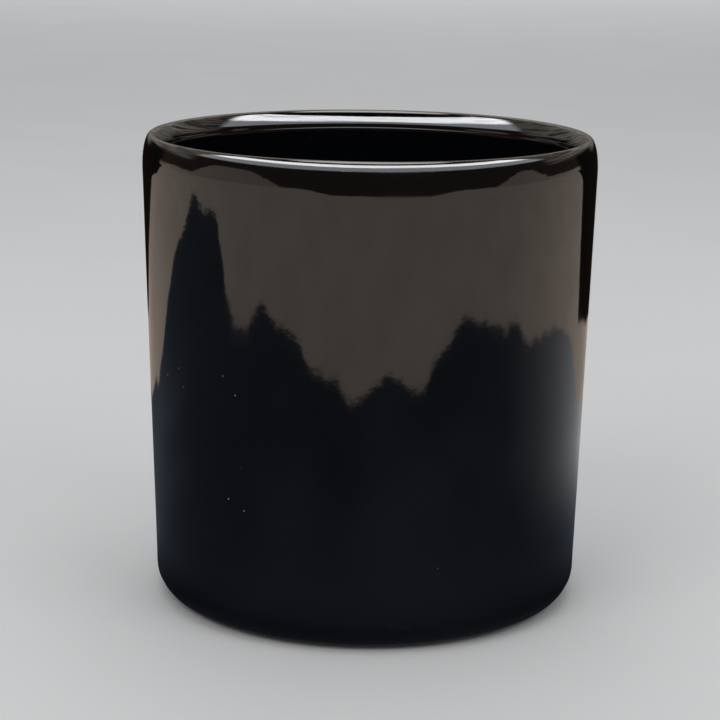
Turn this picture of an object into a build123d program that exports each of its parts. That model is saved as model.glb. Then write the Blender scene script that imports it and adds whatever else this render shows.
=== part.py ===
from build123d import *
from math import asin, atan, degrees, hypot
import os

# A large cylindrical planter: a fired clay pot with a slight taper and a thick rolled lip, a glaze
# over its outside and the top of its inside, and a rubber plug that pulls up out of the drain hole.
# Millimetres, +Z up. The origin is the middle of the underside, on the surface that the pot stands on.
# Every piece is turned about +Z, so each section is drawn with radius across and height up.

# ---- driving dimensions ----
pot_height = 412.0  # floor to the crest of the lip, glaze included
glaze = 0.8  # thickness of the glaze
wall_foot_radius = 187.9  # clay outer wall, carried down to the floor
wall_lean = 0.0274  # how far the outer wall leans out for each millimetre of height
foot_corner_radius = 25.2  # rounding between the wall and the underside

lip_outer_reach = 7.0  # lip crest out to the outer wall
lip_outer_drop = 26.7  # lip crest down to where the outer wall begins
lip_edge_radius = 5.0  # from the crest inwards
lip_edge_turn = 55.0
lip_slope_radius = 39.2  # the long slope that leads inside
lip_slope_turn = 13.0
lip_throat_radius = 16.2  # from the slope round to the inner wall
bore_lean = 0.02  # the inner wall's own, smaller lean

floor_top = 22.0  # inner floor above the ground
floor_corner_radius = 30.0  # rounding between the inner wall and the inner floor
recess_height = 5.0  # hollow under the floor, inside the foot ring
recess_radius = 140.0
recess_corner_radius = 4.0
foot_edge_radius = 1.5
drain_radius = 14.0
drain_edge_radius = 1.5
seat_radius = 26.0  # shallow seat round the drain hole, which the plug's flange lies in
seat_depth = 3.0

glaze_foot_height = 4.0  # bare clay left at the foot, where the pot stood in the kiln
glaze_depth = 125.0  # how far the glaze runs down the inside, from the crest

plug_gap = 0.3  # around the stem, inside the drain hole
plug_rest_gap = 0.1  # under the flange
plug_tip_height = 3.5
plug_tip_radius = 12.2
plug_stem_radius = 12.9
rib_thickness = 1.6
rib_count = 3
rib_pitch = 4.2
flange_radius = 24.0
flange_thickness = 2.8
neck_radius = 6.0
neck_height = 7.0
knob_radius = 10.5
knob_thickness = 5.5
plug_rounding = 1.2

# ---- places worked out from them ----
clay_height = pot_height - glaze
shoulder_height = clay_height - lip_outer_drop
# the lip's outer ellipse is tangent to the leaning wall, and its inner arcs end along the bore
crest_radius = (
    wall_foot_radius + wall_lean * shoulder_height - hypot(lip_outer_reach, wall_lean * lip_outer_drop)
)
bore_angle = degrees(atan(bore_lean))
lip_throat_turn = 90 - lip_edge_turn - lip_slope_turn - bore_angle
corner_center_radius = (
    wall_foot_radius + wall_lean * foot_corner_radius - foot_corner_radius * hypot(1, wall_lean)
)
seat_height = floor_top - seat_depth
wall_angle = degrees(atan(wall_lean))
glaze_foot_angle = -degrees(asin(1 - glaze_foot_height / foot_corner_radius))
glaze_end_height = pot_height - glaze_depth


def lip(skin):
    """The lip's section, from the outer wall up to the crest and down to the bore. Returns its two ends."""
    outer_reach, outer_drop = lip_outer_reach + skin, lip_outer_drop + skin
    outer_start = -degrees(atan(wall_lean * outer_drop / outer_reach))
    shoulder = EllipticalCenterArc(
        (crest_radius, shoulder_height), outer_reach, outer_drop, outer_start, arc_size=90 - outer_start
    )
    edge = JernArc(shoulder @ 1, (-1, 0), lip_edge_radius + skin, lip_edge_turn)
    slope = JernArc(edge @ 1, edge % 1, lip_slope_radius + skin, lip_slope_turn)
    throat = JernArc(slope @ 1, slope % 1, lip_throat_radius + skin, lip_throat_turn)
    return shoulder @ 0, throat @ 1


def down_the_bore(start, height):
    """The point at this height on a line that leaves start along the inner wall."""
    return (start.X - bore_lean * (start.Y - height), height)


def foot_corner(skin, start_angle):
    """The rounded bottom corner, from start_angle up to the outer wall. Returns its two ends."""
    corner = CenterArc(
        (corner_center_radius, foot_corner_radius),
        foot_corner_radius + skin,
        start_angle,
        -wall_angle - start_angle,
    )
    return corner @ 0, corner @ 1


# ---- clay body: wall, rolled lip, floor, foot ring and drain hole ----
with BuildPart() as clay_body:
    with BuildSketch(Plane.XZ) as clay_section:
        with BuildLine() as clay_outline:
            ground_end, wall_start = foot_corner(0, -90)
            wall_end, bore_start = lip(0)
            Line(wall_start, wall_end)
            FilletPolyline(
                bore_start,
                down_the_bore(bore_start, floor_top),
                (seat_radius, floor_top),
                (seat_radius, seat_height),
                (drain_radius, seat_height),
                (drain_radius, recess_height),
                (recess_radius, recess_height),
                (recess_radius, 0),
                ground_end,
                radius=[
                    floor_corner_radius,
                    drain_edge_radius,
                    drain_edge_radius,
                    drain_edge_radius,
                    drain_edge_radius,
                    recess_corner_radius,
                    foot_edge_radius,
                ],
            )
        make_face()
    revolve(axis=Axis.Z)
clay_body.part.label = "clay_body"

# ---- glaze coat: one skin over the outer wall, the lip and the top of the inside ----
with BuildPart() as glaze_coat:
    with BuildSketch(Plane.XZ) as glaze_section:
        with BuildLine() as glaze_outline:
            clay_foot, clay_wall_start = foot_corner(0, glaze_foot_angle)
            clay_wall_end, clay_bore_start = lip(0)
            glaze_foot, glaze_wall_start = foot_corner(glaze, glaze_foot_angle)
            glaze_wall_end, glaze_bore_start = lip(glaze)
            Line(clay_wall_start, clay_wall_end)
            Line(glaze_wall_start, glaze_wall_end)
            Line(clay_foot, glaze_foot)
            clay_end = down_the_bore(clay_bore_start, glaze_end_height)
            glaze_end = down_the_bore(glaze_bore_start, glaze_end_height)
            Line(clay_bore_start, clay_end)
            Line(glaze_bore_start, glaze_end)
            Line(clay_end, glaze_end)
        make_face()
    revolve(axis=Axis.Z)
glaze_coat.part.label = "glaze_coat"

# ---- drain plug: a ribbed rubber stem, a flange in the floor's seat and a knob to pull it by ----
flange_base = seat_height + plug_rest_gap
flange_top = flange_base + flange_thickness
knob_base = flange_top + neck_height
knob_top = knob_base + knob_thickness
with BuildPart() as drain_plug:
    with BuildSketch(Plane.XZ) as plug_section:
        with BuildLine() as plug_outline:
            profile = FilletPolyline(
                (0, plug_tip_height),
                (plug_tip_radius, plug_tip_height),
                (plug_stem_radius, flange_base),
                (flange_radius, flange_base),
                (flange_radius, flange_top),
                (neck_radius, flange_top),
                (neck_radius, knob_base),
                (knob_radius, knob_base),
                (knob_radius, knob_top),
                (0, knob_top),
                radius=plug_rounding,
            )
            Line(profile @ 1, profile @ 0)
        make_face()
    revolve(axis=Axis.Z)
    rib_reach = drain_radius - plug_gap - rib_thickness / 2
    for rib in range(rib_count):
        rib_height = recess_height + rib_pitch * (rib + 0.6)
        with Locations((0, 0, rib_height)):
            Torus(rib_reach, rib_thickness / 2)
drain_plug.part.label = "drain_plug"

os.makedirs("parts", exist_ok=True)
export_step(clay_body.part, "parts/clay_body.step")
export_step(glaze_coat.part, "parts/glaze_coat.step")
export_step(drain_plug.part, "parts/drain_plug.step")
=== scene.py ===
import math

import bpy
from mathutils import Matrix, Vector, noise


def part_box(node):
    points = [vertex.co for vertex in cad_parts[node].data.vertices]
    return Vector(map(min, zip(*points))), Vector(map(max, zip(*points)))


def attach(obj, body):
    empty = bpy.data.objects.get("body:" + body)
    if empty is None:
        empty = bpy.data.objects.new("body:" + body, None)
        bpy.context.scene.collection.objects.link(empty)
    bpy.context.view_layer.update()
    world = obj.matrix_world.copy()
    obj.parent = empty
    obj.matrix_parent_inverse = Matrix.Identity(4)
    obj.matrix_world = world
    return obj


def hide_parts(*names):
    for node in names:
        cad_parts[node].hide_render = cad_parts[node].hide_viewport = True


# The looks of a large planter: black glaze over terracotta, with a rubber plug in the drain hole.
# Metres, +Z up. The pot stands on the floor with its axis on the Z axis.

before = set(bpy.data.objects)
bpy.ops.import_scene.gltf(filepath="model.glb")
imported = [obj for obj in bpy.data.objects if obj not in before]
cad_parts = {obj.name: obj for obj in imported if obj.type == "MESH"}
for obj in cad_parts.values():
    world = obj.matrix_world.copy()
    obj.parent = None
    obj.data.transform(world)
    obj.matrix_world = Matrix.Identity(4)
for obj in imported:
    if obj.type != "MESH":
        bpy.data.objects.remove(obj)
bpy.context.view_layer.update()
MM = 0.001
TURN = 2 * math.pi
UNDIVIDED = 1.0  # a step longer than any straight of the outline, which then gets no points of its own

# ---- the design's own dimensions; heights come from the frame ----
POT_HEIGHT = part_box("glaze_coat")[1].z
CLAY_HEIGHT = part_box("clay_body")[1].z
GLAZE = POT_HEIGHT - CLAY_HEIGHT
WALL_LEAN = 0.0274
WALL_FOOT_RADIUS = 187.9 * MM
FOOT_CORNER = 25.2 * MM
LIP_OUTER_REACH, LIP_OUTER_DROP = 7.0 * MM, 26.7 * MM
# the lip's inner arcs, each a radius and a turn in degrees
LIP_TURNS = [(5.0 * MM, 55.0), (39.2 * MM, 13.0), (16.2 * MM, 20.85)]
BORE_LEAN = 0.02
FLOOR_TOP = 22 * MM
FLOOR_CORNER = 30 * MM
RECESS_HEIGHT, RECESS_RADIUS, RECESS_CORNER = 5 * MM, 140 * MM, 4 * MM
SEAT_RADIUS, SEAT_DEPTH = 26 * MM, 3 * MM
DRAIN_RADIUS, DRAIN_EDGE = 14 * MM, 1.5 * MM
FOOT_EDGE = 1.5 * MM
GLAZE_FOOT_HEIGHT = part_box("glaze_coat")[0].z
GLAZE_DEPTH = 125 * MM
KNOB_BASE = 28.9 * MM
RIB_HEIGHTS = (7.52, 11.72, 15.92)  # millimetres, like the rest of the plug's outline
SCALLOPS, SCALLOP_DEPTH = 10, 0.9 * MM

# ---- places worked out from them ----
SHOULDER_HEIGHT = CLAY_HEIGHT - LIP_OUTER_DROP
CREST_RADIUS = (
    WALL_FOOT_RADIUS + WALL_LEAN * SHOULDER_HEIGHT - math.hypot(LIP_OUTER_REACH, WALL_LEAN * LIP_OUTER_DROP)
)
CORNER_CENTER_RADIUS = (
    WALL_FOOT_RADIUS + WALL_LEAN * FOOT_CORNER - FOOT_CORNER * math.hypot(1, WALL_LEAN)
)
GLAZE_END_HEIGHT = POT_HEIGHT - GLAZE_DEPTH

# ---- the light tent that the glaze mirrors: radiances as red, green and blue ----
TENT_RADIUS = 8.0
TENT_WHITE = (16.6, 16.8, 17.2)
TENT_GREY = (2.7, 2.9, 3.1)
TENT_TOP = (6.5, 6.4, 6.2)
TENT_LOW = (0.085, 0.05, 0.033)
TENT_SIDE = (0.80, 0.73, 0.64)
TENT_BACK = (2.6, 2.37, 2.05)
GROUND_RING = (0.98, 0.82, 0.69)
GROUND_NEAR = (0.056, 0.066, 0.085)
GROUND_HAZE = (0.045, 0.052, 0.06)
GROUND_RIGHT = (0.38, 0.375, 0.37)

# ---- where they lie, in degrees: azimuths from the front, and heights above the horizon ----
FRONT_END, SIDE_END = 101, 150
DARK_FROM, DARK_TO, DARK_SHARE = 122, 128, 0.12  # what is low and far away darkens here, to this share
GREY_FROM, WHITE_FROM, WHITE_TO, TOP_FROM = 26, 39, 54, 70
SIDE_FROM, SIDE_TO = 14, 70
BACK_FROM, BACK_TO = 4, 75
# the far ground's ledge, in radians above the horizon; the drop is further back
LEDGE_FRONT, LEDGE_SIDE, LEDGE_DROP = -0.12, 0.25, 0.21

# ---- the bright ring on the ground, in metres from the pot's axis ----
RING_START_FRONT, RING_START_SIDE, RING_START_DROP = 0.92, 1.24, 0.42
RING_END_FRONT, RING_END_RISE, RING_END_DROP, RING_END_FALL = 3.0, 6.0, 6.0, 1.75
PEAK_AZIMUTH = -1.60  # radians: the tall peak at the left, where the ring starts furthest out

# ---- how the surface differs from a perfect one ----
CLAY_SEGMENTS, GLAZE_SEGMENTS, PLUG_SEGMENTS = 280, 360, 160
HIDDEN_ROWS = 3  # where clay and glaze touch, out of sight, only one row in this many is kept
SWELL = 0.45 * MM  # slow unevenness of the wall, from the mould and the hand finish
SWELL_SIZE = 130 * MM
RIPPLE = 0.07 * MM
RIPPLE_SIZE = 38 * MM
RING_HEIGHT = 0.22 * MM  # tool rings on the bare inside
RING_PITCH = 7.5 * MM
FLOOR_RING_PITCH = 10 * MM
CLAY_SINK, CLAY_SINK_FROM = 0.02 * MM, 4 * MM  # above this height the clay keeps just clear of the glaze
EDGE_ZONE = 15 * MM  # this close to the glaze's edges every row is kept
GLAZE_ROUNDING = 1.3 * MM  # how far from its edges the glaze is rounded off
FOOT_ROLL, INNER_ROLL = 0.10 * MM, 0.35 * MM  # how much the glaze swells just short of its edges
FOOT_WANDER, INNER_WANDER = 0.8 * MM, 2.6 * MM  # how far the glaze's edges stray from a level line
BEAD_HEIGHT, BEAD_WIDTH = 0.45 * MM, 1.0 * MM  # a thin bead in the glaze, under the lip's inner slope
BEAD_DROP = 17.3 * MM


# ---------------------------------------------------------------- outlines

def arc(center, reach, drop, start, end, count):
    """Points along an ellipse's arc as (radius, height), from start to end in radians."""
    angles = [start + (end - start) * i / count for i in range(count + 1)]
    return [(center[0] + reach * math.cos(a), center[1] + drop * math.sin(a)) for a in angles]


def round_arc(center, radius, start, end, count):
    """Points along a circle's arc."""
    return arc(center, radius, radius, start, end, count)


def line(start, end, step):
    """Points along a straight run, without its two ends."""
    count = max(1, round(math.dist(start, end) / step))
    return [
        (start[0] + (end[0] - start[0]) * i / count, start[1] + (end[1] - start[1]) * i / count)
        for i in range(1, count)
    ]


def turned(start, heading, turns, step):
    """Tangent arcs on from a point whose normal points along heading.

    Each of turns is a radius and a turn in degrees. A step is the degrees from one point to the next.
    """
    points = [start]
    for radius, turn in turns:
        center = (points[-1][0] - radius * math.cos(heading), points[-1][1] - radius * math.sin(heading))
        end = heading + math.radians(turn)
        points += round_arc(center, radius, heading, end, max(4, round(turn / step)))[1:]
        heading = end
    return points


def down_the_bore(start, height):
    """The point at this height on a line that leaves start along the inner wall."""
    return (start[0] - BORE_LEAN * (start[1] - height), height)


def clay_outline():
    """The clay's closed section, from the ground up the outside, over the lip, down the inside and back."""
    # which way the surface faces at the ends of the arcs, as an angle from straight outwards
    up, left, down = math.pi / 2, math.pi, 1.5 * math.pi
    wall_angle = math.atan(WALL_LEAN)
    outer_start = -math.atan(WALL_LEAN * LIP_OUTER_DROP / LIP_OUTER_REACH)
    corner = round_arc((CORNER_CENTER_RADIUS, FOOT_CORNER), FOOT_CORNER, -up, -wall_angle, 26)
    shoulder = arc((CREST_RADIUS, SHOULDER_HEIGHT), LIP_OUTER_REACH, LIP_OUTER_DROP, outer_start, up, 34)
    throat = turned(shoulder[-1], up, LIP_TURNS, 3.0)
    bore_start = throat[-1]
    # close rows for the bead in the glaze, which lies where the bore starts
    bead = [down_the_bore(bore_start, bore_start[1] - drop * MM) for drop in (0.5, 1, 1.5, 2, 2.5, 3, 4)]
    stop = down_the_bore(bore_start, GLAZE_END_HEIGHT)
    bore_foot = down_the_bore(bore_start, FLOOR_TOP + FLOOR_CORNER)
    inner_corner = round_arc((bore_foot[0] - FLOOR_CORNER, bore_foot[1]), FLOOR_CORNER, 0, -up, 14)

    seat_height = FLOOR_TOP - SEAT_DEPTH
    drain_center = DRAIN_RADIUS + DRAIN_EDGE
    seat_edge = round_arc((SEAT_RADIUS + DRAIN_EDGE, FLOOR_TOP - DRAIN_EDGE), DRAIN_EDGE, up, left, 6)
    seat_corner = round_arc((SEAT_RADIUS - DRAIN_EDGE, seat_height + DRAIN_EDGE), DRAIN_EDGE, 0, -up, 5)
    top_edge = round_arc((drain_center, seat_height - DRAIN_EDGE), DRAIN_EDGE, up, left, 6)
    low_edge = round_arc((drain_center, RECESS_HEIGHT + DRAIN_EDGE), DRAIN_EDGE, left, down, 6)

    recess_center = (RECESS_RADIUS - RECESS_CORNER, RECESS_HEIGHT - RECESS_CORNER)
    recess = round_arc(recess_center, RECESS_CORNER, up, 0.12 * math.pi, 6)
    foot_edge = round_arc((RECESS_RADIUS + FOOT_EDGE, FOOT_EDGE), FOOT_EDGE, left, down, 5)

    # each run of points, and the step along the straight that leads on to the next
    runs = [
        (corner, 5 * MM), (shoulder, UNDIVIDED), (throat + bead, 8 * MM), ([stop], 1.8 * MM),
        (inner_corner, 2 * MM), (seat_edge, 2 * MM), (seat_corner, 3 * MM), (top_edge, 2.5 * MM),
        (low_edge, 10 * MM), (recess, UNDIVIDED), (foot_edge, 4 * MM),
    ]
    outline = []
    for (run, step), (following, _) in zip(runs, runs[1:] + runs[:1]):
        outline += run + line(run[-1], following[0], step)
    return [p for p, q in zip(outline, outline[1:] + outline[:1]) if math.dist(p, q) > 1e-6]


def rounded(corners, count=5):
    """An open outline through corners given as (radius, height, rounding) in millimetres."""
    points = [Vector(corners[0][:2])]
    for before, corner, after in zip(corners, corners[1:], corners[2:]):
        middle = Vector(corner[:2])
        back = (Vector(before[:2]) - middle).normalized()
        ahead = (Vector(after[:2]) - middle).normalized()
        reach = corner[2] / math.tan(back.angle(ahead) / 2)
        for i in range(count + 1):
            t = i / count
            points.append(middle + back * reach * (1 - t) ** 2 + ahead * reach * t**2)
    points.append(Vector(corners[-1][:2]))
    return [(p.x * MM, p.y * MM) for p in points]


class Path:
    """An outline that can be read at any distance along it: its point and its outward normal."""

    def __init__(self, points):
        self.points = points
        self.along = [0.0]
        for p, q in zip(points, points[1:]):
            self.along.append(self.along[-1] + math.dist(p, q))
        self.normals = []
        for i in range(len(points)):
            before, after = points[max(i - 1, 0)], points[min(i + 1, len(points) - 1)]
            dr, dz = after[0] - before[0], after[1] - before[1]
            size = math.hypot(dr, dz)
            self.normals.append((dz / size, -dr / size))

    def find(self, distance):
        """The number of the last point before this distance, and the share of the way on to the next."""
        low, high = 0, len(self.along) - 1
        while high - low > 1:
            middle = (low + high) // 2
            if self.along[middle] <= distance:
                low = middle
            else:
                high = middle
        share = (distance - self.along[low]) / (self.along[high] - self.along[low])
        return low, min(max(share, 0.0), 1.0)

    def at(self, distance):
        """The point and the normal at this distance."""
        i, share = self.find(distance)
        return [
            tuple(a + (b - a) * share for a, b in zip(values[i], values[i + 1]))
            for values in (self.points, self.normals)
        ]

    def where(self, test, past=0.0):
        """The distance of the first point beyond past that passes the test."""
        return next(d for d, p in zip(self.along, self.points) if d > past and test(p))


# ---------------------------------------------------------------- surfaces

def smooth(low, high, value):
    """0 at low and 1 at high, with an easy start and end. Low may be the larger of the two."""
    t = min(max((value - low) / (high - low), 0.0), 1.0)
    return t * t * (3 - 2 * t)


def hump(value, middle, width):
    """A smooth hump, 1 at its middle."""
    return math.exp(-(((value - middle) / width) ** 2))


def unevenness(radius, height, angle):
    """How far the fired wall stands inside its perfect shape here, in metres."""
    x, y = radius * math.cos(angle), radius * math.sin(angle)
    slow = 0.5 + 0.5 * noise.noise(Vector((x, y, height * 0.8)) / SWELL_SIZE)
    # read far from the first, so the two don't rise and fall together
    quick = 0.5 + 0.5 * noise.noise(Vector((x + 3, y, height)) / RIPPLE_SIZE)
    return (SWELL * slow + RIPPLE * quick) * smooth(3 * MM, 40 * MM, height)


def above_floor(height):
    """0 at the inner floor and 1 where the bore is straight."""
    return smooth(FLOOR_TOP + 5 * MM, FLOOR_TOP + 40 * MM, height)


def filling(height):
    """How far the bore is moved back, since the unevenness would thin the wall from both sides."""
    below_lip = smooth(POT_HEIGHT - 20 * MM, POT_HEIGHT - 90 * MM, height)
    return 0.5 * (SWELL + RIPPLE) * below_lip * above_floor(height)


def wave(angle, seed, lobes=(2, 5, 9, 17)):
    """A smooth closed wave round the pot, between about -1 and 1."""
    total = sum(math.sin(n * angle + seed * (n + 1.7)) / math.sqrt(n) for n in lobes)
    return total / 1.6


def place(point, normal, offset, angle):
    """A vertex: the section's point, moved along its normal and turned round the axis by angle."""
    radius, height = point[0] + normal[0] * offset, point[1] + normal[1] * offset
    return (radius * math.cos(angle), radius * math.sin(angle), height)


def mesh_object(name, vertices, faces, material):
    """A smooth-shaded object in the scene."""
    mesh = bpy.data.meshes.new(name)
    mesh.from_pydata(vertices, [], faces)
    mesh.validate()
    mesh.polygons.foreach_set("use_smooth", [True] * len(mesh.polygons))
    mesh.materials.append(material)
    piece = bpy.data.objects.new(name, mesh)
    bpy.context.scene.collection.objects.link(piece)
    return piece


def ring_faces(first, second, count):
    """Quads between two rings of vertices, whose numbers begin at first and second."""
    return [
        (first + i, first + (i + 1) % count, second + (i + 1) % count, second + i) for i in range(count)
    ]


# ---------------------------------------------------------------- materials

# a mix node has sockets of the same name for numbers, vectors and colors, so its color ones go by number
COLOR_A, COLOR_B, COLOR_RESULT = 6, 7, 2


class Nodes:
    """Short calls for building a material's node tree."""

    def __init__(self, name):
        self.material = bpy.data.materials.new(name)
        self.material.use_nodes = True
        self.tree = self.material.node_tree
        self.shader = self.tree.nodes["Principled BSDF"]
        self.place = self.add("ShaderNodeTexCoord").outputs["Object"]
        parts = self.add("ShaderNodeSeparateXYZ")
        self.link(self.place, parts.inputs["Vector"])
        self.x, self.y, self.z = (parts.outputs[axis] for axis in "XYZ")

    def add(self, kind, **settings):
        node = self.tree.nodes.new(kind)
        for key, value in settings.items():
            setattr(node, key, value)
        return node

    def link(self, source, target):
        self.tree.links.new(source, target)

    def put(self, socket, value):
        """Links or sets a socket, whichever the value calls for."""
        if isinstance(value, bpy.types.NodeSocket):
            self.link(value, socket)
        else:
            socket.default_value = value

    def noise(self, scale, detail=3.0, roughness=0.5, vector=None):
        """Cloudy noise, about 0.5 on average."""
        node = self.add("ShaderNodeTexNoise")
        node.inputs["Scale"].default_value = scale
        node.inputs["Detail"].default_value = detail
        node.inputs["Roughness"].default_value = roughness
        self.link(vector or self.place, node.inputs["Vector"])
        return node.outputs["Fac"]

    def cells(self, scale):
        """The distance to the nearest of many scattered points."""
        node = self.add("ShaderNodeTexVoronoi")
        node.inputs["Scale"].default_value = scale
        self.link(self.place, node.inputs["Vector"])
        return node.outputs["Distance"]

    def stretched(self, scale):
        """The place on the object, scaled along each axis."""
        node = self.add("ShaderNodeMapping")
        node.inputs["Scale"].default_value = scale
        self.link(self.place, node.inputs["Vector"])
        return node.outputs["Vector"]

    def ramp(self, value, low, high, to_low=0.0, to_high=1.0):
        """A smooth change from to_low, where the value is low, to to_high, where it is high."""
        node = self.add("ShaderNodeMapRange", interpolation_type="SMOOTHSTEP")
        keys = ("Value", "From Min", "From Max", "To Min", "To Max")
        for key, number in zip(keys, (value, low, high, to_low, to_high)):
            self.put(node.inputs[key], number)
        return node.outputs["Result"]

    def sweep(self, angle, low, high, to_low=0.0, to_high=1.0):
        """A ramp over an angle, with low and high in degrees."""
        return self.ramp(angle, math.radians(low), math.radians(high), to_low, to_high)

    def between(self, angle, low, high, soft):
        """1 between two angles and 0 outside them, with edges this soft. All are in degrees."""
        return self.times(
            self.sweep(angle, low - soft, low + soft), self.sweep(angle, high + soft, high - soft)
        )

    def math(self, operation, first, second=0.0):
        node = self.add("ShaderNodeMath", operation=operation)
        self.put(node.inputs[0], first)
        self.put(node.inputs[1], second)
        return node.outputs["Value"]

    def chain(self, operation, values):
        """The result of one operation over a row of values, worked out from the first to the last."""
        result = values[0]
        for value in values[1:]:
            result = self.math(operation, result, value)
        return result

    def times(self, *values):
        return self.chain("MULTIPLY", values)

    def plus(self, *values):
        return self.chain("ADD", values)

    def minus(self, *values):
        return self.chain("SUBTRACT", values)

    def from_axis(self):
        """The distance from the pot's axis."""
        return self.math("SQRT", self.plus(self.times(self.x, self.x), self.times(self.y, self.y)))

    def mix(self, share, first, second, blend="MIX"):
        node = self.add("ShaderNodeMix", data_type="RGBA", blend_type=blend)
        self.put(node.inputs["Factor"], share)
        self.put(node.inputs[COLOR_A], first)
        self.put(node.inputs[COLOR_B], second)
        return node.outputs[COLOR_RESULT]

    def bump(self, height, distance, strength=1.0, under=None):
        """A normal that stands for this relief, on top of another one if under is given."""
        node = self.add("ShaderNodeBump")
        node.inputs["Strength"].default_value = strength
        node.inputs["Distance"].default_value = distance
        self.link(height, node.inputs["Height"])
        if under is not None:
            self.link(under, node.inputs["Normal"])
        return node.outputs["Normal"]


def color(r, g, b):
    return (r, g, b, 1.0)


def black_glaze():
    """High-gloss black glaze with a dark blue tint: orange peel, pinholes, smears and a little dust."""
    n = Nodes("black_glaze")
    cloud = n.noise(14, 4)
    tint = n.mix(cloud, color(0.0010, 0.0013, 0.0019), color(0.0018, 0.0025, 0.0038))
    # over the lip the glaze runs thin in patches, and shows brown
    lip_thin = n.ramp(n.z, POT_HEIGHT - 7 * MM, POT_HEIGHT - 1 * MM)
    patch = n.ramp(n.noise(34, 4), 0.42, 0.68)
    tint = n.mix(n.times(lip_thin, patch, 0.7), tint, color(0.020, 0.011, 0.007))
    # dust and dried splashes, mostly low on the wall
    low = n.ramp(n.z, 120 * MM, 4 * MM, 0.10, 1.0)
    specks = n.ramp(n.cells(260), 0.10, 0.04)
    sparse = n.ramp(n.noise(30, 2), 0.56, 0.70)
    dust = n.times(specks, sparse, low)
    tint = n.mix(dust, tint, color(0.10, 0.095, 0.085))
    spots = n.times(n.ramp(n.cells(85), 0.075, 0.045), n.ramp(n.noise(11, 2), 0.60, 0.70))
    tint = n.mix(spots, tint, color(0.34, 0.34, 0.33))
    n.link(tint, n.shader.inputs["Base Color"])
    smear = n.ramp(n.noise(9, 5, 0.6, n.stretched((1, 1, 0.45))), 0.50, 0.78, 0.0, 0.07)
    grain = n.ramp(n.noise(600, 2), 0.3, 0.7, 0.0, 0.02)
    soiling = n.times(n.plus(dust, spots), 0.5)
    n.link(n.plus(smear, grain, soiling, 0.035), n.shader.inputs["Roughness"])
    n.shader.inputs["IOR"].default_value = 1.55
    peel = n.bump(n.noise(95, 3), 0.10 * MM, 0.35)
    pits = n.bump(n.ramp(n.cells(75), 0.035, 0.0), -0.12 * MM, 0.6, peel)
    n.link(n.bump(dust, 0.1 * MM, 0.7, pits), n.shader.inputs["Normal"])
    return n.material


def terracotta():
    """Bare fired clay: orange brown, sandy, with turning marks and pale salt bloom, and painted shade that
    darkens the foot and the underside.
    """
    n = Nodes("terracotta")
    cloud = n.noise(11, 5, 0.6)
    fine = n.noise(240, 3, 0.6)
    tint = n.mix(cloud, color(0.36, 0.125, 0.058), color(0.53, 0.235, 0.125))
    tint = n.mix(n.times(fine, 0.45), tint, color(0.27, 0.10, 0.05))
    flash = n.ramp(n.noise(4.5, 3, 0.5), 0.40, 0.66, 0.0, 0.45)
    tint = n.mix(flash, tint, color(0.30, 0.085, 0.038))
    # turning marks: by height up the bore, and by radius across the floor
    turns = n.times(n.plus(n.from_axis(), n.z), TURN / RING_PITCH)
    marks = n.math("SINE", n.plus(turns, n.times(cloud, 5.0)))
    tint = n.mix(n.ramp(marks, -0.2, 1.0, 0.0, 0.22), tint, color(0.25, 0.085, 0.040))
    grit = n.ramp(n.cells(520), 0.16, 0.05)
    tint = n.mix(n.times(grit, 0.5), tint, color(0.62, 0.44, 0.30))
    bloom = n.ramp(n.noise(24, 8, 0.72), 0.50, 0.78, 0.0, 0.36)
    tint = n.mix(bloom, tint, color(0.66, 0.56, 0.47))
    # painted shade: below about 9 mm the foot and the whole underside are painted nearly black, for the
    # shade where the pot meets the ground
    painted_foot_shade = n.ramp(n.plus(n.z, n.times(cloud, 4 * MM)), 9 * MM, 4 * MM, 0.0, 0.9)
    tint = n.mix(painted_foot_shade, tint, color(0.035, 0.024, 0.019))
    n.link(tint, n.shader.inputs["Base Color"])
    n.link(n.ramp(fine, 0.2, 0.8, 0.78, 0.95), n.shader.inputs["Roughness"])
    coarse = n.bump(n.noise(130, 5, 0.65), 0.5 * MM, 0.5)
    n.link(n.bump(grit, 0.3 * MM, 0.6, coarse), n.shader.inputs["Normal"])
    return n.material


def plug_rubber():
    """Soft black rubber: a fine moulded grain with a greyish bloom on it, and a parting line."""
    n = Nodes("plug_rubber")
    bloom = n.ramp(n.noise(70, 5, 0.6), 0.45, 0.75)
    tint = n.mix(bloom, color(0.016, 0.016, 0.017), color(0.050, 0.049, 0.047))
    n.link(tint, n.shader.inputs["Base Color"])
    n.link(n.ramp(bloom, 0.0, 1.0, 0.52, 0.78), n.shader.inputs["Roughness"])
    grain = n.bump(n.noise(1500, 2), 0.05 * MM, 0.6)
    parting_line = n.ramp(n.math("ABSOLUTE", n.y), 0.28 * MM, 0.12 * MM)
    n.link(n.bump(parting_line, 0.12 * MM, 0.9, grain), n.shader.inputs["Normal"])
    return n.material


def floor_paint():
    """Plain matte grey paint, hardly clouded."""
    n = Nodes("floor_paint")
    tint = n.mix(n.noise(2.5, 4), color(0.53, 0.53, 0.53), color(0.57, 0.57, 0.565))
    n.link(tint, n.shader.inputs["Base Color"])
    n.shader.inputs["Roughness"].default_value = 0.9
    n.shader.inputs["Specular IOR Level"].default_value = 0.0
    return n.material


# ---------------------------------------------------------------- pieces

def glaze_span(path):
    """How far along the clay's outline the glaze starts, passes the crest and ends."""
    start = path.where(lambda p: p[1] > GLAZE_FOOT_HEIGHT + 0.5 * MM)
    crest = path.where(lambda p: p[1] > CLAY_HEIGHT - 0.01 * MM)
    end = path.where(lambda p: p[0] < CREST_RADIUS and p[1] < GLAZE_END_HEIGHT + 1 * MM, crest)
    return start, crest, end


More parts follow.
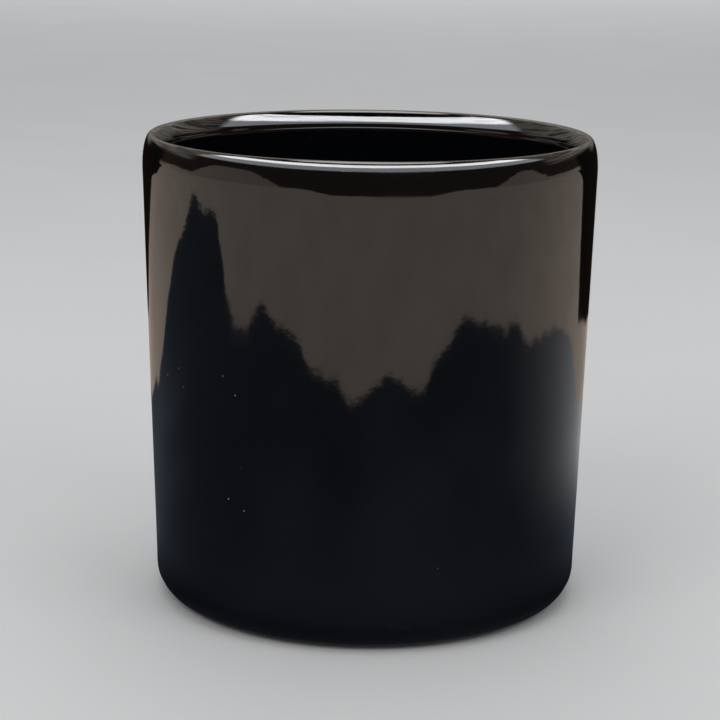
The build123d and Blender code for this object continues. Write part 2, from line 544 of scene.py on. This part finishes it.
def make_clay(path):
    """The clay body as one closed mesh, with tool rings on its bare inside and inner floor."""
    start, crest, end = glaze_span(path)
    kept = [
        i for i, d in enumerate(path.along)
        if not start + EDGE_ZONE < d < end - EDGE_ZONE or i % HIDDEN_ROWS == 0
    ]
    vertices, faces = [], []
    for i in kept:
        point, normal = path.points[i], path.normals[i]
        radius, height = point
        # how much this row belongs to the bare part of the bore, and to the flat of the inner floor
        bare = smooth(GLAZE_END_HEIGHT + 4 * MM, GLAZE_END_HEIGHT - 12 * MM, height)
        on_bore = bare * above_floor(height) * (normal[0] < -0.9)
        on_floor = (abs(height - FLOOR_TOP) < 0.1 * MM) * smooth(SEAT_RADIUS + 4 * MM, 50 * MM, radius)
        for k in range(CLAY_SEGMENTS):
            angle = TURN * k / CLAY_SEGMENTS
            offset = -unevenness(radius, height, angle) - CLAY_SINK * (height > CLAY_SINK_FROM)
            if path.along[i] > crest:
                offset += filling(height)
            if on_bore:
                ring = math.sin(TURN * height / RING_PITCH + 0.35 * wave(angle, 3.1, (1, 2, 3)))
                drift = noise.noise(Vector((math.cos(angle), math.sin(angle), height * 18)))
                offset += RING_HEIGHT * on_bore * ring * (0.6 + drift)
            if on_floor:
                ring = math.sin(TURN * radius / FLOOR_RING_PITCH + angle)
                offset += RING_HEIGHT * on_floor * (ring - 1) * 0.7
            vertices.append(place(point, normal, offset, angle))
    count = len(kept)
    for i in range(count):
        faces += ring_faces(i * CLAY_SEGMENTS, (i + 1) % count * CLAY_SEGMENTS, CLAY_SEGMENTS)
    return mesh_object("planter_clay", vertices, faces, MATERIALS["terracotta"])


def glaze_thickness(from_foot, from_inner_end):
    """The glaze's thickness from its distance to each of its edges: rounded off, with a roll at each."""
    rounding = min(min(from_foot, from_inner_end) / GLAZE_ROUNDING, 1.0)
    thickness = GLAZE * math.sqrt(1 - (1 - rounding) ** 2)
    roll = FOOT_ROLL * hump(from_foot, 4 * MM, 2.4 * MM)
    inner_roll = INNER_ROLL * hump(from_inner_end, 3.5 * MM, 2 * MM)
    return thickness + (roll + inner_roll) * rounding


def make_glaze(path):
    """The glaze as one closed skin on the clay, from an uneven line at the foot to another inside."""
    edge_steps = [s * MM for s in (0, 0.08, 0.25, 0.5, 0.85, 1.3, 2.0, 3.0, 4.0, 5.0, 6.5, 8.5)]
    start, crest, end = glaze_span(path)
    inner = [d for d in path.along if start + EDGE_ZONE < d < end - EDGE_ZONE]
    rows = len(edge_steps) * 2 + len(inner)
    hidden = list(range(2, rows - 2, HIDDEN_ROWS))
    outer, under = [[] for _ in range(rows)], [[] for _ in range(rows)]
    for k in range(GLAZE_SEGMENTS):
        angle = TURN * k / GLAZE_SEGMENTS
        first = start + FOOT_WANDER * wave(angle, 0.4)
        last = end - 1.5 * MM + INNER_WANDER * wave(angle, 2.2, (1, 3, 4, 11, 23))
        distances = [first + s for s in edge_steps] + inner + [last - s for s in reversed(edge_steps)]
        for row, distance in enumerate(distances):
            point, normal = path.at(distance)
            sunk = -unevenness(point[0], point[1], angle)
            thickness = glaze_thickness(distance - first, last - distance)
            if distance > crest:
                sunk += filling(point[1])
                thickness += BEAD_HEIGHT * hump(point[1], POT_HEIGHT - BEAD_DROP, BEAD_WIDTH)
            outer[row].append(place(point, normal, sunk + thickness, angle))
            under[row].append(place(point, normal, sunk, angle))
    vertices = [v for ring in outer for v in ring] + [v for row in hidden for v in under[row]]
    faces = []
    for row in range(rows - 1):
        faces += ring_faces(row * GLAZE_SEGMENTS, (row + 1) * GLAZE_SEGMENTS, GLAZE_SEGMENTS)
    # the side against the clay shares its first and last rings with the outer side
    back = [0] + [(rows + i) * GLAZE_SEGMENTS for i in range(len(hidden))] + [(rows - 1) * GLAZE_SEGMENTS]
    for low, high in zip(back, back[1:]):
        faces += ring_faces(high, low, GLAZE_SEGMENTS)
    return mesh_object("planter_glaze", vertices, faces, MATERIALS["black_glaze"])


def plug_outline():
    """The plug's section, from the middle of its tip round to the middle of its knob."""
    corners = [(0, 4.5, 0), (7.2, 4.5, 0.7), (8.4, 3.55, 0.7), (11.5, 3.55, 0.5), (12.25, 5.2, 0.6)]
    for height in RIB_HEIGHTS:
        corners += [
            (12.4, height - 1.3, 0.3), (13.62, height - 0.2, 0.3), (13.62, height + 0.35, 0.2),
            (12.5, height + 0.9, 0.3),
        ]
    corners += [
        (12.8, 19.2, 0.6), (23.92, 19.2, 1.0), (23.92, 21.82, 1.1),
        (21.4, 21.82, 0.3), (20.9, 21.25, 0.3), (19.9, 21.25, 0.3), (19.4, 21.82, 0.3),
        (6.9, 21.82, 1.6), (5.6, 25.2, 2.5), (6.9, 29.0, 1.4),
        (10.4, 29.0, 1.4), (10.4, 34.3, 1.7), (7.9, 34.3, 0.9), (6.7, 33.3, 0.9),
        (2.7, 33.15, 0.4), (2.3, 33.85, 0.4), (0, 33.95, 0),
    ]
    return rounded(corners)


def make_plug():
    """The rubber bung: sealing ribs, a grooved flange, a waisted neck and a knob with finger scallops."""
    outline = plug_outline()
    rings = outline[1:-1]
    vertices = [(0, 0, outline[0][1])]
    for radius, height in rings:
        # the scallops are cut into the knob's side only, deepest at its rim
        grip = smooth(KNOB_BASE, KNOB_BASE + 1.2 * MM, height) * smooth(7.6 * MM, 10.2 * MM, radius)
        for k in range(PLUG_SEGMENTS):
            angle = TURN * k / PLUG_SEGMENTS
            scallop = max(0.0, math.cos(SCALLOPS * angle)) ** 2
            at = radius - SCALLOP_DEPTH * grip * scallop
            vertices.append((at * math.cos(angle), at * math.sin(angle), height))
    vertices.append((0, 0, outline[-1][1]))
    faces = []
    for i in range(len(rings) - 1):
        faces += ring_faces(1 + i * PLUG_SEGMENTS, 1 + (i + 1) * PLUG_SEGMENTS, PLUG_SEGMENTS)
    last, top = 1 + (len(rings) - 1) * PLUG_SEGMENTS, len(vertices) - 1
    for k in range(PLUG_SEGMENTS):
        following = (k + 1) % PLUG_SEGMENTS
        faces.append((0, 1 + following, 1 + k))
        faces.append((top, last + k, last + following))
    return mesh_object("planter_plug", vertices, faces, MATERIALS["plug_rubber"])


# ---------------------------------------------------------------- studio

def softbox(name, azimuth, distance, height, aim_height, size, radiance):
    """A square area light round the pot, for everything but the glaze's mirror image of the tent."""
    light = bpy.data.lights.new(name, "AREA")
    light.shape = "SQUARE"
    light.size = size
    light.energy = radiance * math.pi * size**2
    lamp = bpy.data.objects.new(name, light)
    turn = math.radians(azimuth)
    lamp.location = (distance * math.sin(turn), -distance * math.cos(turn), height)
    aim = Vector((0, 0, aim_height)) - lamp.location
    lamp.rotation_euler = aim.to_track_quat("-Z", "Y").to_euler()
    lamp.visible_camera = False
    lamp.visible_glossy = False
    bpy.context.scene.collection.objects.link(lamp)


def seen_in_gloss_only(card):
    """Keeps a shining surface of the studio out of everything but mirror images."""
    card.visible_camera = False
    card.visible_diffuse = False
    card.visible_shadow = False


def glow(name):
    """A material that only shines, as its node helper, and the angle round the pot, 0 in front."""
    n = Nodes(name)
    n.tree.nodes.remove(n.shader)
    n.shader = n.add("ShaderNodeEmission")
    n.link(n.shader.outputs["Emission"], n.tree.nodes["Material Output"].inputs["Surface"])
    return n, n.math("ARCTAN2", n.x, n.times(n.y, -1.0))


def add_up(n, layers):
    """The sum of (mask, radiance color) layers, as a color socket."""
    total = color(0, 0, 0)
    for mask, radiance in layers:
        total = n.mix(mask, total, color(*radiance), blend="ADD")
    return total


def dimmed(radiance, share):
    return tuple(share * value for value in radiance)


def turned_back(n, angle, most):
    """The angle from the front to either side, less up to most degrees on the right."""
    return n.minus(n.math("ABSOLUTE", angle), n.sweep(angle, 0, 30, 0, math.radians(most)))


def tent_light():
    """The light tent as the glaze mirrors it: a white band high over the front, and dimmer elsewhere."""
    n, angle = glow("tent_light")
    around = n.math("ABSOLUTE", angle)
    lift = n.math("ARCSINE", n.math("DIVIDE", n.z, TENT_RADIUS))
    streaks = n.noise(1.1, 5, 0.6, n.stretched((0.25, 0.25, 4.0)))

    # three sectors; limits below 0 or above 180 degrees are open ends
    front = n.between(around, -20, FRONT_END, 5)
    side = n.between(around, FRONT_END, SIDE_END, 6)
    back = n.between(around, SIDE_END, 200, 6)

    # the lit ground ends in a ragged ledge, below the horizon in front and above it at the sides
    ledge = n.sweep(turned_back(n, angle, 20), 30, 66, LEDGE_FRONT, LEDGE_SIDE)
    ledge = n.minus(ledge, n.sweep(around, 78, 100, 0.0, LEDGE_DROP))
    ledge = n.plus(ledge, n.times(n.minus(streaks, 0.5), 0.12))
    ledge_sector = n.between(around, 20, 127, 2)
    under_ledge = n.times(n.ramp(n.minus(ledge, lift), -0.01, 0.01), ledge_sector)
    over_ledge = n.times(n.between(lift, -5, GREY_FROM, 1.2), n.minus(1.0, under_ledge))
    darkening = n.sweep(around, DARK_FROM, DARK_TO, 1.0, DARK_SHARE)

    worn = n.ramp(streaks, 0.34, 0.52, 0.55, 1.0)
    streaky = n.ramp(streaks, 0.38, 0.60, 0.12, 1.0)
    softly_streaky = n.ramp(streaks, 0.38, 0.60, 0.45, 1.0)
    brighter_upwards = n.sweep(lift, BACK_FROM, BACK_TO, 0.12, 1.0)
    behind = n.times(n.between(lift, BACK_FROM, BACK_TO, 3), brighter_upwards, softly_streaky)
    layers = [
        (n.times(over_ledge, darkening), TENT_LOW),
        (under_ledge, dimmed(GROUND_RING, 0.7)),
        (n.times(front, n.between(lift, GREY_FROM, WHITE_FROM, 1.0)), TENT_GREY),
        (n.times(front, n.between(lift, WHITE_FROM, WHITE_TO, 0.8), worn), TENT_WHITE),
        (n.between(lift, TOP_FROM, 100, 1.5), TENT_TOP),
        (n.times(side, n.between(lift, SIDE_FROM, SIDE_TO, 4), streaky), TENT_SIDE),
        (n.times(back, behind), TENT_BACK),
    ]
    n.link(add_up(n, layers), n.shader.inputs["Color"])
    return n.material


def ground_light():
    """The ground as the glaze mirrors it: dark close to the pot, then a warm ring with ragged edges."""
    n, angle = glow("ground_light")
    around = n.math("ABSOLUTE", angle)
    reach = n.from_axis()
    polar = n.add("ShaderNodeCombineXYZ")
    n.link(n.math("DIVIDE", n.x, reach), polar.inputs["X"])
    n.link(n.math("DIVIDE", n.y, reach), polar.inputs["Y"])
    n.link(n.times(reach, 0.5), polar.inputs["Z"])
    rags = n.minus(n.noise(2.6, 3, 0.45, polar.outputs["Vector"]), 0.5)

    # where the ring starts: further out at the sides than in front and behind, and much further at the peak
    peak = n.ramp(n.math("ABSOLUTE", n.minus(angle, PEAK_AZIMUTH)), 0.52, 0.06)
    ring_start = n.sweep(around, 6, 60, RING_START_FRONT, RING_START_SIDE)
    ring_start = n.plus(ring_start, n.sweep(around, 116, 134, 0.0, -RING_START_DROP))
    ring_start = n.plus(ring_start, n.times(rags, n.ramp(peak, 0.0, 1.0, 0.6, 2.6)), peak)

    # where it ends: near in front, far at the sides, and nearer again behind, soonest on the right
    ring_end = n.plus(RING_END_FRONT, n.sweep(turned_back(n, angle, 12), 15, 45, 0.0, RING_END_RISE))
    ring_end = n.plus(ring_end, n.sweep(around, 121, 130, 0.0, -RING_END_DROP))
    fall_end = n.ramp(angle, -1, 1, math.radians(156), math.radians(131))
    ring_end = n.plus(ring_end, n.ramp(around, math.radians(128), fall_end, 0.0, -RING_END_FALL))
    ring_end = n.plus(ring_end, n.times(rags, 0.4))

    past_start = n.ramp(n.minus(reach, ring_start), -0.025, 0.025)
    before_end = n.ramp(n.minus(ring_end, reach), -0.03, 0.03)
    near = n.minus(1.0, past_start)
    mottle = n.ramp(n.noise(2.2, 4, 0.6), 0.3, 0.7, 0.88, 1.0)
    dimmer_behind = n.sweep(around, 90, 150, 1.0, 0.5)
    contact = n.ramp(reach, 0.18, 0.30, 0.15, 1.0)
    haze = n.times(n.ramp(n.noise(1.1, 2), 0.48, 0.68), n.ramp(reach, 1.3, 0.5))
    on_right = n.times(n.sweep(angle, 60, 128), n.sweep(angle, 176, 140), n.ramp(reach, 0.28, 0.62))
    darkening = n.sweep(around, DARK_FROM, DARK_TO, 1.0, DARK_SHARE)
    layers = [
        (n.times(n.times(past_start, before_end), n.times(mottle, dimmer_behind)), GROUND_RING),
        (n.times(near, contact), GROUND_NEAR),
        (n.times(on_right, near), GROUND_RIGHT),
        (n.times(haze, near), GROUND_HAZE),
        (n.times(n.minus(1.0, before_end), darkening), TENT_LOW),
    ]
    n.link(add_up(n, layers), n.shader.inputs["Color"])
    return n.material


def ring_points(radius, height, count):
    """Points evenly spaced round the pot's axis."""
    angles = [TURN * k / count for k in range(count)]
    return [(radius * math.cos(a), radius * math.sin(a), height) for a in angles]


def make_tent():
    """A dome and a ground disc that only glossy rays see, so the glaze has something to mirror."""
    rows, columns = 24, 64
    vertices, faces = [], []
    for i in range(rows):
        lift = math.radians(-1 + 90 * i / (rows - 1))
        vertices += ring_points(TENT_RADIUS * math.cos(lift), TENT_RADIUS * math.sin(lift), columns)
    for i in range(rows - 1):
        faces += ring_faces(i * columns, (i + 1) * columns, columns)
    dome = mesh_object("studio_tent", vertices, faces, tent_light())
    seen_in_gloss_only(dome)

    ground_height = 2 * MM
    middle = ring_points(0.5 * WALL_FOOT_RADIUS, ground_height, columns)
    edge = ring_points(TENT_RADIUS, ground_height, columns)
    ground = mesh_object("studio_ground", middle + edge, ring_faces(0, columns, columns), ground_light())
    seen_in_gloss_only(ground)


def make_studio():
    """A wide pale floor, the tent, four softboxes and a little light from all round."""
    size = 60.0
    corners = [(-size, -size, 0), (size, -size, 0), (size, size, 0), (-size, size, 0)]
    floor = mesh_object("studio_floor", corners, [(0, 1, 2, 3)], floor_paint())
    make_tent()
    softbox("key", azimuth=-35, distance=3.2, height=3.2, aim_height=0.2, size=2.4, radiance=2.6)
    softbox("fill", azimuth=50, distance=3.4, height=2.8, aim_height=0.2, size=2.4, radiance=1.8)
    softbox("top", azimuth=180, distance=0.6, height=4.0, aim_height=0.0, size=3.0, radiance=1.6)
    softbox("back", azimuth=180, distance=12.0, height=6.0, aim_height=-0.5, size=9.0, radiance=1.3)
    world = bpy.data.worlds.new("studio_air")
    world.use_nodes = True
    background = world.node_tree.nodes["Background"]
    background.inputs["Color"].default_value = color(0.95, 0.97, 1.0)
    background.inputs["Strength"].default_value = 0.6
    bpy.context.scene.world = world


def make_camera():
    """A long lens at about eye height for someone crouching, looking down on the lip."""
    camera = bpy.data.cameras.new("camera")
    camera.sensor_width = 36
    camera.lens = 102.98
    camera.shift_x, camera.shift_y = -0.0102, 0.0037
    eye = bpy.data.objects.new("camera", camera)
    eye.location = (0, -1.8007, 0.6238)
    pitch, roll = 0.2283, 0.0138
    eye.rotation_euler = (math.pi / 2 - pitch, 0, 0)
    eye.rotation_euler.rotate_axis("Z", roll)
    bpy.context.scene.collection.objects.link(eye)
    bpy.context.scene.camera = eye
    bpy.context.scene.view_settings.view_transform = "Standard"


make_camera()
make_studio()
MATERIALS = {"terracotta": terracotta(), "black_glaze": black_glaze(), "plug_rubber": plug_rubber()}
section = Path(clay_outline())

clay = make_clay(section)
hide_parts("clay_body")
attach(clay, "pot")

glaze = make_glaze(section)
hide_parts("glaze_coat")
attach(glaze, "pot")

plug = make_plug()
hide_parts("drain_plug")
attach(plug, "plug")
